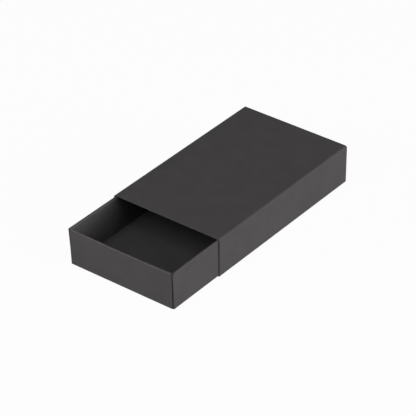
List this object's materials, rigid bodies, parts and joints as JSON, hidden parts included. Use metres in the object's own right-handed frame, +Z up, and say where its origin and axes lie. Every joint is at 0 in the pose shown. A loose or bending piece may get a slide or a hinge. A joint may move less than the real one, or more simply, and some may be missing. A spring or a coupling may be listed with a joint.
{
  "type": "sliding drawer gift box",
  "caption": "Shallow rectangular card gift box: an open-topped tray with rolled double walls slides through a plain folded sleeve that is open at both ends.",
  "frame": {"origin": "middle of the sleeve's underside", "axes": "+Z up, Y along the slide with the tray drawn out towards -Y, X across the width"},
  "size_m": [0.08, 0.1743, 0.0265],
  "materials": {
    "sleeve_card": "matte uncoated black card, dyed through",
    "tray_card": "matte uncoated black card, dyed through",
    "glue": "dry translucent paper glue"
  },
  "bodies": {
    "sleeve": {"sleeve_top_panel": "sleeve_card", "sleeve_top_left_fold": "sleeve_card", "sleeve_top_right_fold": "sleeve_card", "sleeve_left_panel": "sleeve_card", "sleeve_right_panel": "sleeve_card", "sleeve_bottom_panel": "sleeve_card", "sleeve_glue_flap": "sleeve_card", "sleeve_glue_line": "glue"},
    "tray": {"tray_base": "tray_card", "tray_front_outer_wall": "tray_card", "tray_front_rim": "tray_card", "tray_front_inner_wall": "tray_card", "tray_back_outer_wall": "tray_card", "tray_back_rim": "tray_card", "tray_back_inner_wall": "tray_card", "tray_left_outer_wall": "tray_card", "tray_left_rim": "tray_card", "tray_left_inner_wall": "tray_card", "tray_right_outer_wall": "tray_card", "tray_right_rim": "tray_card", "tray_right_inner_wall": "tray_card", "tray_front_left_corner_tab": "tray_card", "tray_front_right_corner_tab": "tray_card", "tray_back_left_corner_tab": "tray_card", "tray_back_right_corner_tab": "tray_card"}
  },
  "joints": [
    {"name": "tray_slide", "type": "slide", "parent": "sleeve", "child": "tray", "axis": [0, -1, 0], "range_m": [-0.16425, 0.07725]}
  ]
}
